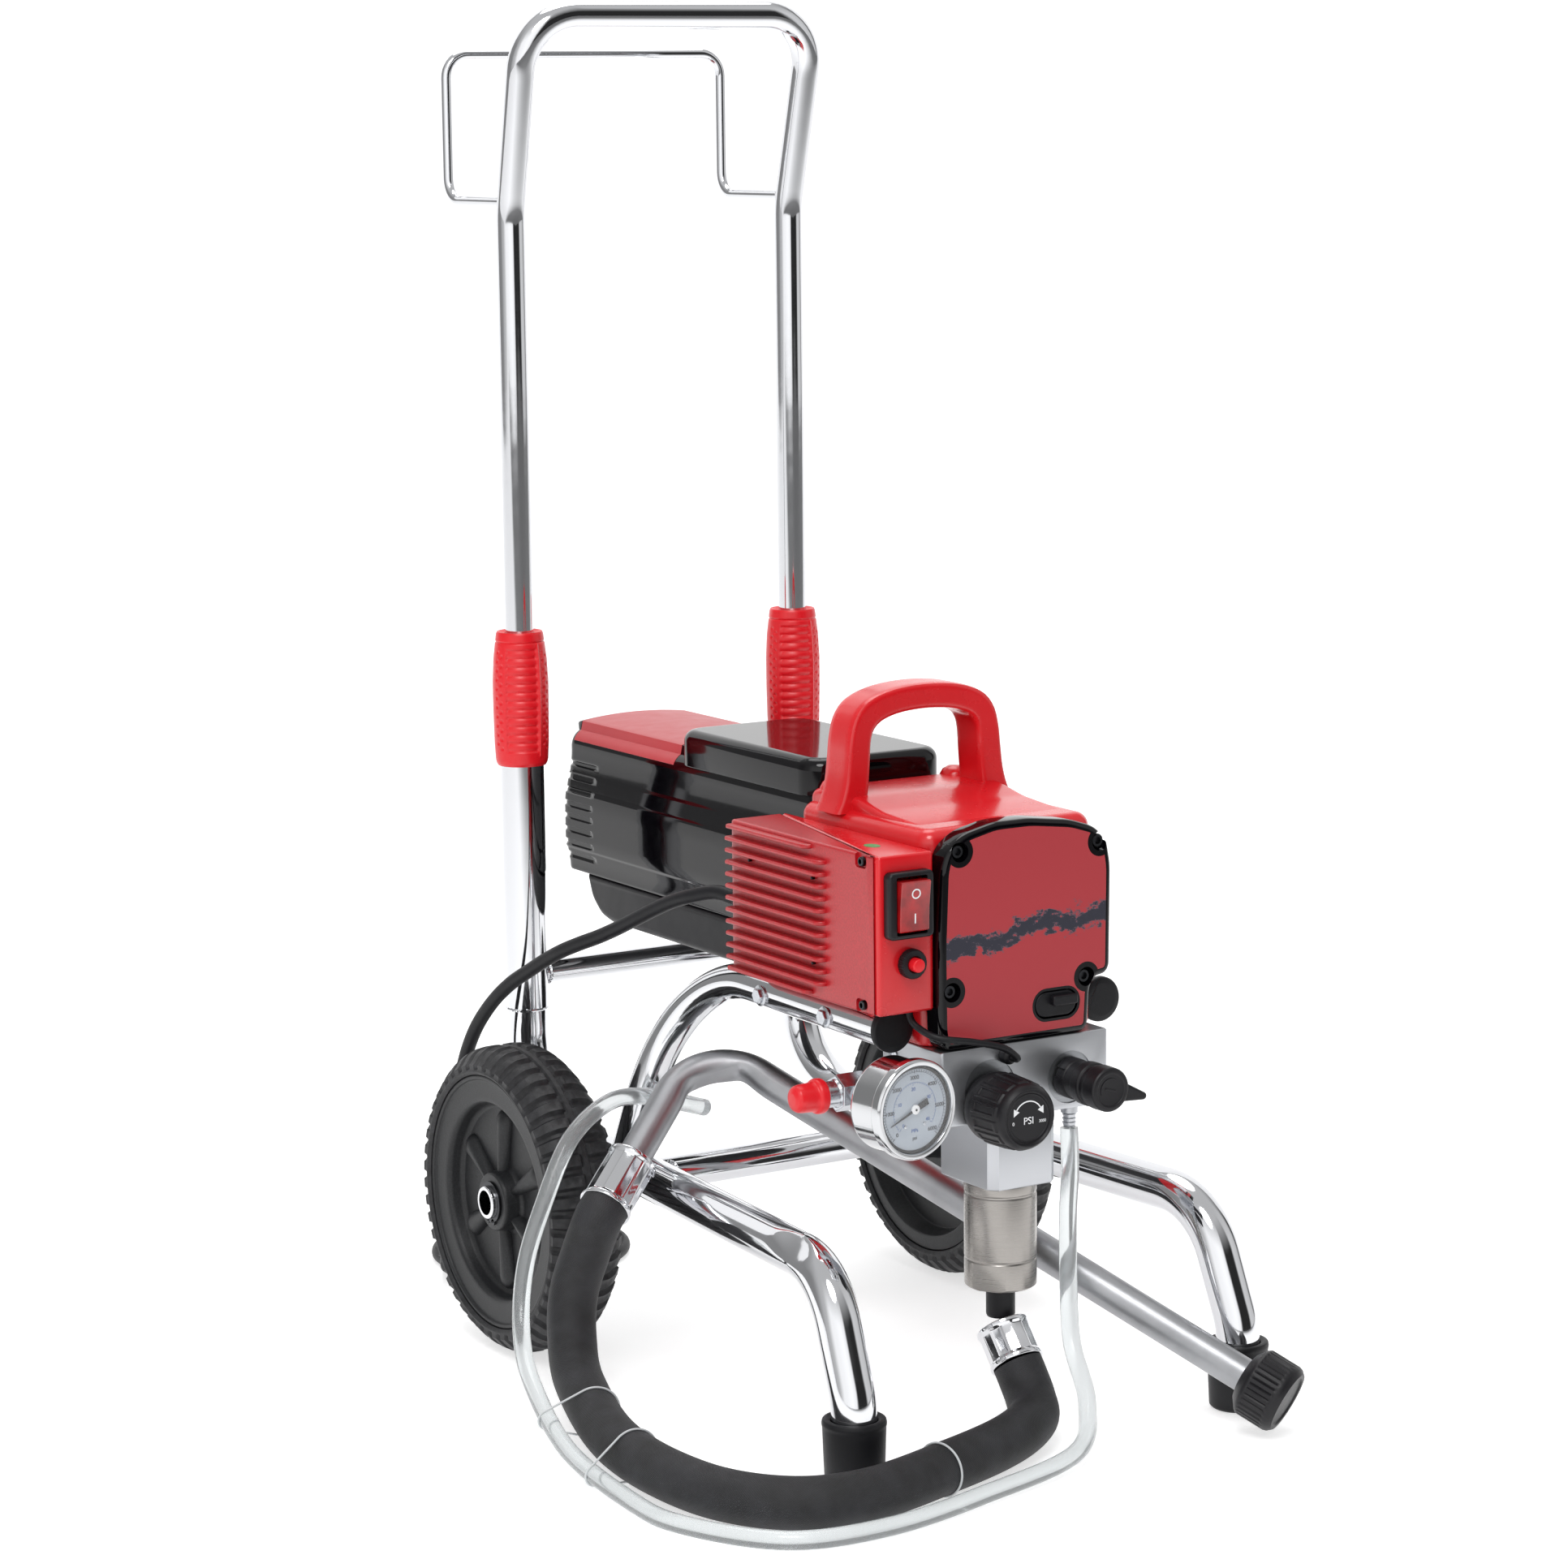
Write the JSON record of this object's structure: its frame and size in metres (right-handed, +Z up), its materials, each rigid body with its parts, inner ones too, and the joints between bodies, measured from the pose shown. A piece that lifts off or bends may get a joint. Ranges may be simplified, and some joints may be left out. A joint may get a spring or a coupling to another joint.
{
  "type": "airless paint sprayer",
  "caption": "Electric airless paint sprayer on an upright two-wheeled cart with a telescoping handle, pressure gauge, suction hose, return tube and mains lead.",
  "frame": {"origin": "on the floor under the middle of the machine, midway between the wheels", "axes": "+Z up, -Y to the pump, gauge and knobs, +Y to the wheels and handle, -X to the suction hose and control box"},
  "size_m": [0.5526, 0.828, 1.0172],
  "materials": {
    "chrome": "polished",
    "plated_fitting": "polished",
    "gauge_steel": "polished stainless",
    "spring_steel": "dark",
    "black_nylon": "moulded",
    "tyre": "matt",
    "foot_rubber": "matt",
    "red_grip": "satin",
    "motor_plastic": "satin moulded",
    "red_casting": "gloss paint",
    "machined_steel": "machined",
    "polished_steel": "turned",
    "pump_aluminium": "milled",
    "tube_aluminium": "satin",
    "knob_plastic": "moulded",
    "needle_black": "matt",
    "switch_black": "moulded",
    "switch_red": "gloss",
    "cord_rubber": "satin",
    "hose_rubber": "cloth textured",
    "clear_tube": "clear vinyl"
  },
  "bodies": {
    "cart": {"left_side_rail": "chrome", "right_side_rail": "chrome", "left_upright": "chrome", "right_upright": "chrome", "left_arm": "chrome", "right_arm": "chrome", "left_arm_cap": "foot_rubber", "right_arm_cap": "foot_rubber", "upper_cross_tube": "chrome", "lower_cross_tube": "chrome", "axle": "chrome", "left_circlip": "spring_steel", "right_circlip": "spring_steel", "left_foot": "foot_rubber", "right_foot": "foot_rubber", "motor_cover": "motor_plastic", "motor_lower_cover": "motor_plastic", "gear_housing": "red_casting", "front_cover": "motor_plastic", "pump_block": "pump_aluminium", "inlet_housing": "polished_steel", "suction_stub": "knob_plastic", "lower_ferrule": "plated_fitting", "outlet_fitting": "plated_fitting", "outlet_cap": "red_grip", "gauge_case": "gauge_steel", "pressure_sensor": "knob_plastic", "prime_valve_body": "knob_plastic", "control_box": "red_casting", "heat_sink": "red_casting", "switch_bezel": "switch_black", "breaker_collar": "switch_black", "sensor_lead": "cord_rubber", "cord_gland": "cord_rubber", "mains_lead": "cord_rubber", "mains_coil": "cord_rubber", "mains_plug": "cord_rubber", "suction_hose": "hose_rubber", "upper_ferrule": "plated_fitting", "suction_tube": "tube_aluminium", "strainer": "knob_plastic", "return_tube": "clear_tube"},
    "left_wheel": {"left_rim": "black_nylon", "left_tyre": "tyre"},
    "right_wheel": {"right_rim": "black_nylon", "right_tyre": "tyre"},
    "handle": {"handle_bow": "chrome", "hose_rack": "chrome"},
    "left_grip": {"left_grip": "red_grip"},
    "right_grip": {"right_grip": "red_grip"},
    "rotor": {"rotor": "machined_steel"},
    "crank": {"crank_gear": "machined_steel"},
    "piston": {"piston_rod": "polished_steel"},
    "connecting_rod": {"connecting_rod": "machined_steel"},
    "oil_plug": {"oil_plug": "foot_rubber"},
    "rocker": {"rocker": "switch_red"},
    "breaker_button": {"breaker_button": "switch_red"},
    "pressure_knob": {"pressure_knob": "knob_plastic"},
    "prime_knob": {"prime_knob": "knob_plastic"},
    "needle": {"gauge_needle": "needle_black"}
  },
  "joints": [
    {"name": "left_wheel_spin", "type": "hinge", "parent": "cart", "child": "left_wheel", "pos_m": [-0.2, 0.142, 0.1175], "axis": [1, 0, 0], "continuous": true},
    {"name": "right_wheel_spin", "type": "hinge", "parent": "cart", "child": "right_wheel", "pos_m": [0.2, 0.142, 0.1175], "axis": [1, 0, 0], "continuous": true},
    {"name": "handle_slide", "type": "slide", "parent": "cart", "child": "handle", "axis": [0, 0, 1], "range_m": [-0.19, 0]},
    {"name": "left_grip_twist", "type": "hinge", "parent": "cart", "child": "left_grip", "pos_m": [-0.125, 0.261, 0.48], "axis": [0, 0, 1], "range_deg": [-120, 0]},
    {"name": "right_grip_twist", "type": "hinge", "parent": "cart", "child": "right_grip", "pos_m": [0.125, 0.261, 0.48], "axis": [0, 0, 1], "range_deg": [-120, 0]},
    {"name": "rotor_spin", "type": "hinge", "parent": "cart", "child": "rotor", "pos_m": [0, 0.142, 0.398], "axis": [0, -1, 0], "continuous": true},
    {"name": "crank_spin", "type": "hinge", "parent": "cart", "child": "crank", "pos_m": [0, -0.108, 0.3578], "axis": [0, -1, 0], "continuous": true},
    {"name": "piston_slide", "type": "slide", "parent": "cart", "child": "piston", "axis": [0, 0, 1], "range_m": [-0.016, 0]},
    {"name": "rod_swing", "type": "hinge", "parent": "piston", "child": "connecting_rod", "pos_m": [0, -0.216, 0.272], "axis": [0, 1, 0], "range_deg": [-4.5, 4.5]},
    {"name": "oil_plug_pull", "type": "slide", "parent": "cart", "child": "oil_plug", "axis": [0, -1, 0], "range_m": [0, 0.02]},
    {"name": "rocker_tilt", "type": "hinge", "parent": "cart", "child": "rocker", "pos_m": [-0.0955, -0.242, 0.3945], "axis": [1, 0, 0], "range_deg": [0, 14]},
    {"name": "breaker_push", "type": "slide", "parent": "cart", "child": "breaker_button", "axis": [0, 1, 0], "range_m": [0, 0.003], "stiffness_N_per_m": 800},
    {"name": "pressure_knob_turn", "type": "hinge", "parent": "cart", "child": "pressure_knob", "pos_m": [-0.03, -0.248, 0.245], "axis": [0, -1, 0], "range_deg": [-200, 70]},
    {"name": "prime_knob_turn", "type": "hinge", "parent": "cart", "child": "prime_knob", "pos_m": [0.038, -0.248, 0.256], "axis": [0, -1, 0], "range_deg": [0, 90]},
    {"name": "gauge_needle_turn", "type": "hinge", "parent": "cart", "child": "needle", "pos_m": [-0.11492, -0.28495, 0.26], "axis": [0.1219, -0.9925, 0], "range_deg": [-270, 0]}
  ],
  "couplings": [
    {"joint": "crank_spin", "follows": "rotor_spin", "ratio": -0.16667}
  ]
}
